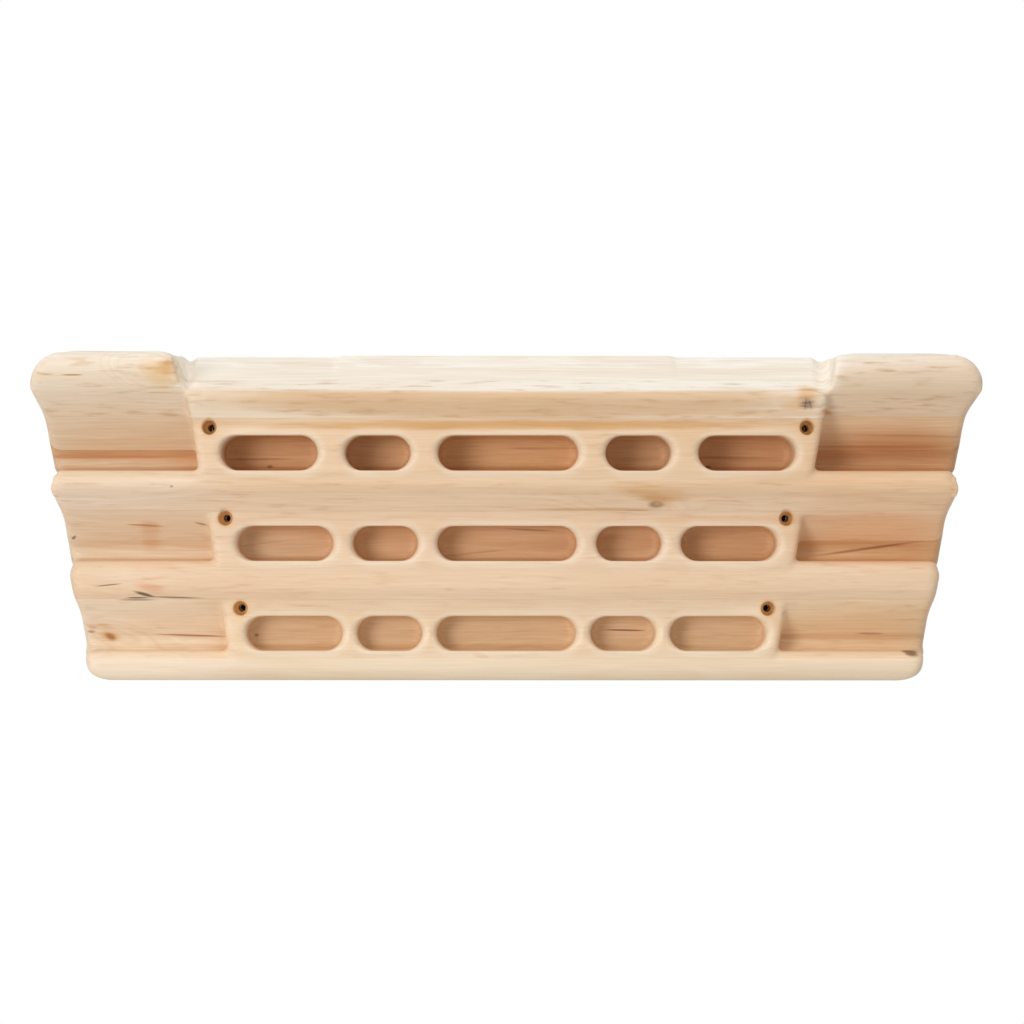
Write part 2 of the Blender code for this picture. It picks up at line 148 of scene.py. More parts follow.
# The outline: round corners, a waist along each hand slope, and horns that stand out a little. By
# side, -1 is the left and 1 the right. Each ledge end has the heights that it lies between and how far
# it draws in, and each waist has these and whether the horn stands out over it.
UPPER_CORNERS = {-1: 0.0285, 1: 0.028}
LOWER_CORNER = 0.01
OUTLINE_LEVELS = 90
CORNER_LEVELS = 12
HORN_FLARES = {-1: 0.0015, 1: 0.0036}
HORN_TOPS = {-1: 0.0003, 1: 0.0018}
HORN_FOOT = 0.19
LEDGE_ENDS = ((0.1235, 0.1362, 0.0031), (0.0672, 0.0762, 0.0011), (0.0115, 0.0215, -0.0016))
WAISTS = ((0.0212, 0.0569, 0.0014, 0), (0.0793, 0.1219, 0.0022, 0), (0.1374, 0.1894, 0.0021, 1))


def end_draw(height, side):
    """How far an end draws in from its slant at a height."""
    draw = -HORN_FLARES[side] if height >= WAISTS[-1][1] else 0
    upper = UPPER_CORNERS[side]
    for radius, past in ((upper, height - BOARD_HEIGHT + upper), (LOWER_CORNER, LOWER_CORNER - height)):
        if past > 0:
            draw += radius - math.sqrt(max(0, radius * radius - past * past))
    for low, high, waist, flared in WAISTS:
        if low < height < high:
            rise = ((height - low) / (high - low)) ** 1.4
            out = flared * HORN_FLARES[side] if rise > 0.5 else 0
            draw += math.sin(math.pi * rise) ** 2 * (waist + out) - out
    for low, high, eased in LEDGE_ENDS:
        if low < height < high:
            draw += eased * math.sin(math.pi * ((height - low) / (high - low)) ** 1.3) ** 1.5
    return draw


heights = [BOARD_HEIGHT * step / OUTLINE_LEVELS for step in range(1, OUTLINE_LEVELS)]
for step in range(CORNER_LEVELS):
    turn = 1 - math.sin(math.pi / 2 * step / CORNER_LEVELS)
    heights += [BOARD_HEIGHT - UPPER_CORNERS[-1] * turn, LOWER_CORNER * turn]
for height in heights:
    bmesh.ops.bisect_plane(
        rails_shape, geom=rails_shape.verts[:] + rails_shape.edges[:] + rails_shape.faces[:],
        dist=CLOSE, plane_co=(0, 0, level(height)), plane_no=(0, 0, 1),
    )
for vertex in rails_shape.verts:
    height = vertex.co.z + BOARD_HEIGHT / 2
    side = math.copysign(1, vertex.co.x)
    vertex.co.x -= side * end_draw(height, side)
    # Both horns were sanded lower by hand, the right one more
    vertex.co.z -= HORN_TOPS[side] * max(0, height - HORN_FOOT) / (BOARD_HEIGHT - HORN_FOOT)
board = finish_solid("board", rails_shape)


# Sloping top hold and middle block
# The block between the horns carries the pockets on a plain face for each row, and its top slopes down
# to the front as a hold for flat hands. A round-nosed cutter has run along the foot of both horns.
RECESS_LENGTH = 0.0964
SLOPER_BACK = BOARD_HEIGHT - 0.0014
SLOPER_LIP = BOARD_HEIGHT - 0.0275
SLOPE = math.atan2(SLOPER_BACK - SLOPER_LIP, BOARD_DEPTH)
ROUGH_CUT = 0.0033
OUTER_THIRD = 0.109
THIRD_DROP = 0.001
THIRD_DEPTH = 0.046
GROOVE_RADIUS = 0.006
GROOVE_IN = 0.0095
GROOVE_OUT = 0.0025
# How wide and how deep the inner corner of each horn is eased
HORN_EASING = {-1: (0.0085, 0.0032), 1: (0.0125, 0.0034)}


def cut(solid, tool, operation="DIFFERENCE", keep=False):
    """Cuts, joins or intersects a solid with a tool, and removes the tool unless it is kept."""
    modifier = solid.modifiers.new("cut", "BOOLEAN")
    modifier.operation = operation
    modifier.solver = "MANIFOLD"
    modifier.object = tool
    settle(solid)
    if not keep:
        bpy.data.objects.remove(tool)


def settle(solid):
    """Applies an object's modifiers to its mesh."""
    bpy.context.view_layer.update()
    evaluated = solid.evaluated_get(bpy.context.evaluated_depsgraph_get())
    mesh = bpy.data.meshes.new_from_object(evaluated)
    solid.modifiers.clear()
    solid.data = mesh


def box_shape(low, high):
    shape = bmesh.new()
    bmesh.ops.create_cube(shape, size=1)
    bmesh.ops.scale(shape, verts=shape.verts, vec=Vector(high) - Vector(low))
    bmesh.ops.translate(shape, verts=shape.verts, vec=(Vector(low) + Vector(high)) / 2)
    return shape


def slope_tool(low, high, radius, back, front):
    """Tool from x = low to high, whose floor falls from the height back to front, under leaning sides."""
    shape = box_shape((low, -0.12, 0), (high, 0.06, 0.06))
    if radius:
        floor_edges = [
            edge for edge in shape.edges
            if all(abs(vertex.co.z) < 0.001 for vertex in edge.verts)
            and abs(edge.verts[0].co.x - edge.verts[1].co.x) < 0.001
        ]
        bmesh.ops.bevel(
            shape, geom=floor_edges, affect="EDGES", offset=radius, segments=8, profile=0.5, material=-1,
        )
    for vertex in shape.verts:
        vertex.co.z += level(back) + vertex.co.y * (back - front) / BOARD_DEPTH
        lean = (BOARD_HEIGHT / 2 - vertex.co.z) * math.tan(END_SLANT)
        vertex.co.x -= math.copysign(1, vertex.co.x) * lean
    return finish_solid("slope_tool", shape)


block_side = half_width(BOARD_HEIGHT) - RECESS_LENGTH
rough_side = block_side - 0.003
cut(board, slope_tool(-rough_side, rough_side, 0, SLOPER_BACK - ROUGH_CUT, SLOPER_LIP - ROUGH_CUT))

block_corners = [(-BEHIND_WALL, RAIL_RADIUS, 0), (ROW_FACES[0], RAIL_RADIUS, 0)]
block_corners += rail_foot(1) + rail_foot(2) + [
    (ROW_FACES[2], BOARD_HEIGHT - 0.0475, 0),
    (BOARD_DEPTH, SLOPER_LIP, 0.0055),
    (-BEHIND_WALL, SLOPER_BACK + BEHIND_WALL * math.tan(SLOPE), 0),
]
block_shape = slanted_bar(block_corners, RECESS_LENGTH, 0.005)
for vertex in block_shape.verts:
    # The block was marked out by hand, a little steeper and further right than the ends
    height = min(vertex.co.z + BOARD_HEIGHT / 2, 0.165)
    vertex.co.x += 0.0316 * height - 0.0039 if vertex.co.x < 0 else 0.0073 * height + 0.0007
block = finish_solid("block", block_shape)
for side in (-1, 1):
    # The hold's outer thirds lie a millimetre lower at the wall
    wedge = box_shape((OUTER_THIRD, -THIRD_DEPTH, 0), (0.32, 0.06, 0.03))
    for vertex in wedge.verts:
        vertex.co.x *= side
        vertex.co.z += level(SLOPER_BACK) - THIRD_DROP + vertex.co.y * (SLOPER_BACK - SLOPER_LIP) / BOARD_DEPTH
        vertex.co.z -= THIRD_DROP * vertex.co.y / THIRD_DEPTH
    cut(block, finish_solid("wedge", wedge))
cut(board, block, "UNION")
groove = (block_side - GROOVE_IN, block_side + GROOVE_OUT)
for low, high in (groove, (-groove[1], -groove[0])):
    cut(board, slope_tool(low, high, GROOVE_RADIUS, SLOPER_BACK - 0.0041, SLOPER_LIP - 0.001))
for side, (wide, deep) in HORN_EASING.items():
    corner = box_shape((0, -0.1, 0), (0.06, 0.06, 0.02))
    rise = math.atan2(deep - HORN_TOPS[side], wide)
    for vertex in corner.verts:
        x, z = vertex.co.x, vertex.co.z
        vertex.co.x = side * (block_side + 0.0005 + x * math.cos(rise) - z * math.sin(rise))
        vertex.co.z = level(BOARD_HEIGHT - deep) + x * math.sin(rise) + z * math.cos(rise)
    cut(board, finish_solid("corner", corner))


# First sanding
# The router's corners are sanded over by hand, so that the block runs softly into the recesses.
def sand(solid, grain, passes):
    remesh = solid.modifiers.new("grain", "REMESH")
    remesh.mode = "VOXEL"
    remesh.voxel_size = grain
    remesh.adaptivity = 0
    sanding = solid.modifiers.new("sanding", "SMOOTH")
    sanding.factor = 0.5
    sanding.iterations = passes
    settle(solid)


sand(board, 0.0012, 8)


# Pockets
# Fifteen round-ended pockets for two, three or four fingers, milled with a round-nosed cutter, so
# that the floor runs into the walls in an arc. The ends roll over at the mouth.
POCKET_HEIGHT = 0.0225
POCKET_DEPTHS = (0.019, 0.025, 0.038)
POCKET_SPACES = (0.0093, 0.0125, 0.0175)
FINGERS = {2: 0.042, 3: 0.062, 4: 0.090}
# Each row lies a little right of the board's middle
SET_RIGHT = (0.001, 0.0015, 0.0021)
MOUTH_ROLL = 0.0055
MOUTH_CLEAR = 0.004
FLOOR_ROLL = 0.005


def pocket_tool(centre, width, row):
    """Cutter for one pocket, with its floor rolled up all round and its mouth flared at both ends."""
    radius = POCKET_HEIGHT / 2
    middle = level(LEDGES[row]) + radius
    face = ROW_FACES[row]
    shape = bmesh.new()
    bmesh.ops.create_grid(shape, x_segments=1, y_segments=1, size=0.5)
    for vertex in shape.verts:
        vertex.co = (centre + vertex.co.x * width, -face + MOUTH_ROLL, middle + vertex.co.y * POCKET_HEIGHT)
    bmesh.ops.bevel(
        shape, geom=shape.verts[:], affect="VERTICES", offset=radius, segments=14, profile=0.5, material=-1,
    )
    bmesh.ops.remove_doubles(shape, verts=shape.verts, dist=CLOSE)
    mouth = shape.faces[:]
    grown = bmesh.ops.extrude_face_region(shape, geom=mouth, use_keep_orig=True)
    floor = [part for part in grown["geom"] if isinstance(part, bmesh.types.BMFace)]
    for vertex in floor[0].verts:
        vertex.co.y = -face + POCKET_DEPTHS[row] - FLOOR_ROLL
    bmesh.ops.recalc_face_normals(shape, faces=shape.faces)
    for step in range(ROLL_STEPS):
        angle = math.pi / 2 * step / ROLL_STEPS
        after = math.pi / 2 * (step + 1) / ROLL_STEPS
        bmesh.ops.inset_region(
            shape, faces=floor, use_even_offset=True,
            thickness=FLOOR_ROLL * (math.cos(angle) - math.cos(after)),
            depth=FLOOR_ROLL * (math.sin(after) - math.sin(angle)),
        )
        previous = MOUTH_ROLL * (1 - math.cos(angle))
        flare = MOUTH_ROLL * (1 - math.cos(after))
        bmesh.ops.inset_region(
            shape, faces=mouth, use_even_offset=True, thickness=0,
            depth=MOUTH_ROLL * (math.sin(after) - math.sin(angle)),
        )
        for vertex in mouth[0].verts:
            across = abs(vertex.co.x - centre) - (width / 2 - radius)
            if across > 0:
                grow = (radius + flare) / (radius + previous)
                vertex.co.x += math.copysign(across * (grow - 1), vertex.co.x - centre)
    bmesh.ops.inset_region(shape, faces=mouth, use_even_offset=True, thickness=0, depth=MOUTH_CLEAR)
    return shape


pockets = bmesh.new()
mouths = ([], [], [])
for row, space in enumerate(POCKET_SPACES):
    two = FINGERS[4] / 2 + space + FINGERS[2] / 2
    three = two + FINGERS[2] / 2 + space + FINGERS[3] / 2
    for fingers, centre in ((3, -three), (2, -two), (4, 0), (2, two), (3, three)):
        centre += SET_RIGHT[row]
        mouths[row].append((centre, level(LEDGES[row]) + POCKET_HEIGHT / 2, (FINGERS[fingers] - POCKET_HEIGHT) / 2))
        tool = pocket_tool(centre, FINGERS[fingers], row)
        one = bpy.data.meshes.new("pocket")
        tool.to_mesh(one)
        tool.free()
        pockets.from_mesh(one)
        bpy.data.meshes.remove(one)
cut(board, finish_solid("pockets", pockets))
sand(board, 0.001, 4)


# Screw holes
# A counterbored hole near both ends of each row takes the screw that holds the board to the wall.
# The hot cutter has left the wood brown in them and round their rims.
HOLE_RISE = 0.0274
HOLE_INSET = 0.0104
HOLE_MOVED = (-0.0002, 0.0008, 0.0022)
HOLE_RADIUS = 0.0024
BORE_RADIUS = 0.0045
RIM_RADIUS = 0.0062
HOLES = [
    (side * (half_width(ledge + HOLE_RISE) - RECESS_LENGTH - HOLE_INSET) + moved, level(ledge + HOLE_RISE), face)
    for ledge, face, moved in zip(LEDGES, ROW_FACES, HOLE_MOVED) for side in (-1, 1)
]
holes = bmesh.new()
for x, z, face in HOLES:
    profile = (
        (0, 0.012), (HOLE_RADIUS, 0.012), (HOLE_RADIUS, 0.0133 - face), (BORE_RADIUS, 0.0135 - face),
        (BORE_RADIUS, 0.0005 - face), (RIM_RADIUS, -0.0012 - face), (RIM_RADIUS, -0.004 - face), (0, -0.004 - face),
    )
    line = [holes.verts.new((x + across, depth, z)) for across, depth in profile]
    edges = [holes.edges.new(pair) for pair in zip(line, line[1:])]
    bmesh.ops.spin(
        holes, geom=line + edges, axis=(0, 1, 0), cent=(x, 0, z),
        angle=2 * math.pi, steps=48, use_merge=True,
    )
cut(board, finish_solid("holes", holes))


# Staves
# The blank is glued up from nine staves in three layers. Each is cut here from the sanded board, so
# that its neighbours meet it without a step, as they do when the whole blank is milled at once.
LAYER = 0.019
STAVES = {
    "back_top": (0, 0.1169, BOARD_HEIGHT),
    "back_centre": (0, 0.0629, 0.1169),
    "back_bottom": (0, 0, 0.0629),
    "middle_top": (1, 0.1289, BOARD_HEIGHT),
    "middle_centre": (1, 0.0527, 0.1289),
    "middle_lower": (1, 0.0149, 0.0527),
    "middle_bottom": (1, 0, 0.0149),
    "front_upper": (2, 0.1689, BOARD_HEIGHT),
    "front_lower": (2, 0, 0.1689),
}


def stave_corners(layer, low, high):
    """Corners of a stave before milling; its sides that aren't glued stand clear of the board."""
    far = (layer + 1) * LAYER if layer < 2 else 0.08
    near = layer * LAYER if layer else -0.02
    below = level(low) if low else level(-0.02)
    above = level(high) if high < BOARD_HEIGHT else level(high + 0.02)
    return (-0.35, -far, below), (0.35, -near, above)


def stave_solid(name, layer, low, high):
    """One stave, smooth where it is sanded and flat where it is glued or meets the wall."""
    first, last = stave_corners(layer, low, high)
    back = -layer * LAYER
    stave = finish_solid(name, box_shape(first, (last[0], back, last[2])))
    cut(stave, board, "INTERSECT", keep=True)
    shape = bmesh.new()
    shape.from_mesh(stave.data)
    for face in shape.faces:
        face.smooth = True
        middle = face.calc_center_median()
        sawn = (
            abs(face.normal.y) > 0.9999 and min(abs(middle.y - back), abs(middle.y - first[1])) < CLOSE
            or abs(face.normal.z) > 0.9999 and min(abs(middle.z - first[2]), abs(middle.z - last[2])) < CLOSE
        )
        if sawn:
            face.smooth = False
            for edge in face.edges:
                edge.smooth = False
    shape.to_mesh(stave.data)
    shape.free()
    return stave


staves = {name: stave_solid("sanded_" + name + "_stave", *place) for name, place in STAVES.items()}
bpy.data.objects.remove(board)


# Alder
# Sanded alder without a coat: dull, pale and close-grained, cream at the top of the board, partly sapwood
# and partly a painted highlight of the top light, and reddish heartwood behind, with soft bands of growth
# that run round the knots, and a few stains.
def colour(code):
    """Linear colour of an sRGB hex code."""
    parts = [int(code[i:i + 2], 16) / 255 for i in (1, 3, 5)]
    return (*[part / 12.92 if part <= 0.04045 else ((part + 0.055) / 1.055) ** 2.4 for part in parts], 1)


def add(tree, kind, settings, sockets):
    """Adds a node with its settings, and gives its sockets values or links."""
    node = tree.nodes.new("ShaderNode" + kind)
    for name, value in settings.items():
        setattr(node, name, value)
    for name, value in sockets.items():
        if isinstance(value, bpy.types.NodeSocket):
            tree.links.new(value, node.inputs[name])
        else:
            node.inputs[name].default_value = value
    return node


def alder(name, tone, figure, low, high, pith, shift, knots, marks, mouths):
    """Alder of one stave, glued between the corners low and high. The pith is its tree's centre."""
    material = bpy.data.materials.new(name)
    material.use_nodes = True
    tree = material.node_tree
    shader = tree.nodes["Principled BSDF"]
    shader.inputs["Roughness"].default_value = 0.58
    shader.inputs["IOR"].default_value = 1.45
    place = add(tree, "TexCoord", {}, {}).outputs["Object"]
    moved = add(tree, "Mapping", {}, {"Vector": place, "Location": (shift, 0, 0)}).outputs[0]

    # Heartwood, stains and streaks, and some painted shade and painted highlights, with frayed edges
    frayed = add(tree, "Mapping", {}, {"Vector": moved, "Scale": (45, 240, 320)}).outputs[0]
    frayed = add(tree, "TexNoise", {}, {"Vector": frayed, "Scale": 1, "Detail": 3}).outputs["Fac"]
    wood = colour(tone)
    for tint, x, z, long, tall, turn, strength, fade, ragged in marks:
        spot = add(tree, "Mapping", {"vector_type": "TEXTURE"}, {
            "Vector": place, "Location": (x / 1000, 0, z / 1000), "Rotation": (0, turn, 0),
            "Scale": (long / 1000, 1, tall / 1000)}).outputs[0]
        spot = add(tree, "TexGradient", {"gradient_type": "SPHERICAL"}, {"Vector": spot}).outputs["Fac"]
        spot = add(tree, "Math", {"operation": "MULTIPLY_ADD"}, {0: frayed, 1: ragged, 2: spot}).outputs[0]
        spot = add(tree, "MapRange", {"interpolation_type": "SMOOTHSTEP"}, {
            "Value": spot, "From Min": ragged * 0.5, "From Max": ragged * 0.5 + fade,
            "To Min": 0, "To Max": strength}).outputs[0]
        wood = add(tree, "Mix", {"data_type": "RGBA"}, {0: spot, 6: wood, 7: colour(tint)}).outputs[2]

    # Round the rolled mouths of the pockets a painted highlight, stronger at the right ends whose rolls face
    # the lamp at the left, reaches as far as 18 mm from the line along a pocket's middle
    nearest = 1.0
    for x, z, reach in mouths:
        away = add(tree, "VectorMath", {"operation": "SUBTRACT"}, {0: place, 1: (x + 0.0012, 0, z)}).outputs[0]
        away = add(tree, "VectorMath", {"operation": "ABSOLUTE"}, {0: away}).outputs[0]
        away = add(tree, "VectorMath", {"operation": "SUBTRACT"}, {0: away, 1: (reach, 1, 0)}).outputs[0]
        away = add(tree, "VectorMath", {"operation": "MAXIMUM"}, {0: away, 1: (0, 0, 0)}).outputs[0]
        away = add(tree, "VectorMath", {"operation": "LENGTH"}, {0: away}).outputs["Value"]
        nearest = add(tree, "Math", {"operation": "MINIMUM"}, {0: away, 1: nearest}).outputs[0]
    if mouths:
        mouth_highlight = add(tree, "MapRange", {"interpolation_type": "SMOOTHSTEP"}, {
            "Value": nearest, "From Min": 0.018, "From Max": 0.0125, "To Max": 0.32}).outputs[0]
        wood = add(tree, "Mix", {"data_type": "RGBA"}, {0: mouth_highlight, 6: wood, 7: colour("#F3E5D2")}).outputs[2]

    # Bands of growth, 5.5 mm apart, which wander by 30 mm over the stave and by 4 mm over a few
    # centimetres, and bend round the knots
    across = add(tree, "Mapping", {}, {
        "Vector": moved, "Location": (0, -pith[0], -pith[1]), "Scale": (0, 1, 1)}).outputs[0]
    ring = add(tree, "VectorMath", {"operation": "LENGTH"}, {0: across}).outputs["Value"]
    for scale, reach in (((5, 9, 9), 0.03), ((22, 45, 45), 0.004)):
        wander = add(tree, "Mapping", {}, {"Vector": moved, "Scale": scale}).outputs[0]
        wander = add(tree, "TexNoise", {}, {"Vector": wander, "Scale": 1, "Detail": 2}).outputs["Fac"]
        ring = add(tree, "Math", {"operation": "MULTIPLY_ADD"}, {0: wander, 1: reach, 2: ring}).outputs[0]
    for x, z, long, tall, turn, push in knots:
        bend = add(tree, "Mapping", {"vector_type": "TEXTURE"}, {
            "Vector": place, "Location": (x / 1000, 0, z / 1000), "Rotation": (0, turn, 0),
            "Scale": (long / 1000, 1, tall / 1000)}).outputs[0]
        bend = add(tree, "TexGradient", {"gradient_type": "SPHERICAL"}, {"Vector": bend}).outputs["Fac"]
        bend = add(tree, "MapRange", {"interpolation_type": "SMOOTHSTEP"}, {
            "Value": bend, "To Max": push / 1000}).outputs[0]
        ring = add(tree, "Math", {"operation": "ADD"}, {0: ring, 1: bend}).outputs[0]
    ring = add(tree, "Math", {"operation": "MULTIPLY"}, {0: ring, 1: 1 / 0.0055}).outputs[0]
    bands = add(tree, "TexNoise", {"noise_dimensions": "1D"}, {
        "W": ring, "Scale": 1, "Detail": 4, "Roughness": 0.6}).outputs["Fac"]
    bands = add(tree, "MapRange", {}, {"Value": bands, "From Min": 0.3, "From Max": 0.7}).outputs[0]
    bands = add(tree, "Mix", {"data_type": "RGBA"}, {
        0: bands, 6: (1 + 0.02 * figure, 1 + 0.035 * figure, 1 + 0.05 * figure, 1),
        7: (1 - 0.03 * figure, 1 - 0.055 * figure, 1 - 0.085 * figure, 1)}).outputs[2]
    wood = add(tree, "Mix", {"data_type": "RGBA", "blend_type": "MULTIPLY"}, {0: 1.0, 6: wood, 7: bands}).outputs[2]
    drift = add(tree, "Mapping", {}, {"Vector": moved, "Scale": (5, 16, 30)}).outputs[0]
    drift = add(tree, "TexNoise", {}, {"Vector": drift, "Scale": 1, "Detail": 3}).outputs["Fac"]
    drift = add(tree, "MapRange", {}, {"Value": drift, "From Min": 0.35, "From Max": 0.68}).outputs[0]
    drift = add(tree, "Mix", {"data_type": "RGBA"}, {
        0: drift, 6: (1.02, 1.03, 1.04, 1), 7: (0.975, 0.945, 0.905, 1)}).outputs[2]
    wood = add(tree, "Mix", {"data_type": "RGBA", "blend_type": "MULTIPLY"}, {0: 1.0, 6: wood, 7: drift}).outputs[2]

    # Fibres, drawn 1 mm thick so that they show; the real ones are a few hundredths
    fibre = add(tree, "Mapping", {}, {"Vector": moved, "Scale": (28, 1000, 1000)}).outputs[0]
    fibre = add(tree, "TexNoise", {}, {"Vector": fibre, "Scale": 1, "Detail": 2}).outputs["Fac"]
    fibres = add(tree, "MapRange", {}, {"Value": fibre, "From Min": 0.35, "From Max": 0.68}).outputs[0]
    fibres = add(tree, "Mix", {"data_type": "RGBA"}, {
        0: fibres, 6: (1 + 0.02 * figure, 1 + 0.02 * figure, 1 + 0.02 * figure, 1),
        7: (1 - 0.05 * figure, 1 - 0.07 * figure, 1 - 0.09 * figure, 1)}).outputs[2]
    wood = add(tree, "Mix", {"data_type": "RGBA", "blend_type": "MULTIPLY"}, {0: 1.0, 6: wood, 7: fibres}).outputs[2]

    # Scorching where the cutter ran hot: a tan halo and a dark rim; inside the counterbore a pale tint is painted
    # light, so that the shaded bore shows lighter tan
    rim = 0.0
    for x, z, face in HOLES:
        bore = add(tree, "Mapping", {"vector_type": "TEXTURE"}, {
            "Vector": place, "Location": (x, 0, z), "Scale": (0.008, 1, 0.008)}).outputs[0]
        bore = add(tree, "TexGradient", {"gradient_type": "SPHERICAL"}, {"Vector": bore}).outputs["Fac"]
        rim = add(tree, "Math", {"operation": "MAXIMUM"}, {0: bore, 1: rim}).outputs[0]
    for start, end, strength, tint in (
        (0.12, 0.42, 0.4, "#D9A468"), (0.39, 0.425, 0.6, "#8A5A30"), (0.425, 0.445, 1.0, "#FFDAA4"),
    ):
        scorch_and_painted_light = add(tree, "MapRange", {"interpolation_type": "SMOOTHSTEP"}, {
            "Value": rim, "From Min": start, "From Max": end, "To Max": strength}).outputs[0]
        wood = add(tree, "Mix", {"data_type": "RGBA"}, {0: scorch_and_painted_light, 6: wood, 7: colour(tint)}).outputs[2]

    # The glue lines, drawn 0.4 mm wide
    middle = (Vector(low) + Vector(high)) / 2
    half = (Vector(high) - Vector(low)) / 2
    glue = add(tree, "VectorMath", {"operation": "SUBTRACT"}, {0: place, 1: middle}).outputs[0]
    glue = add(tree, "VectorMath", {"operation": "ABSOLUTE"}, {0: glue}).outputs[0]
    glue = add(tree, "VectorMath", {"operation": "SUBTRACT"}, {0: glue, 1: half}).outputs[0]
    glue = add(tree, "SeparateXYZ", {}, {0: glue}).outputs
    glue = add(tree, "Math", {"operation": "MAXIMUM"}, {0: glue["Y"], 1: glue["Z"]}).outputs[0]
    glue = add(tree, "MapRange", {}, {
        "Value": glue, "From Min": -0.0004, "From Max": -0.0001, "To Max": 0.08}).outputs[0]
    wood = add(tree, "Mix", {"data_type": "RGBA"}, {0: glue, 6: wood, 7: colour("#9A6238")}).outputs[2]
    bump = add(tree, "Bump", {}, {"Height": fibre, "Strength": 0.15, "Distance": 0.0002}).outputs[0]
    tree.links.new(wood, shader.inputs["Base Color"])
    tree.links.new(bump, shader.inputs["Normal"])
    return material
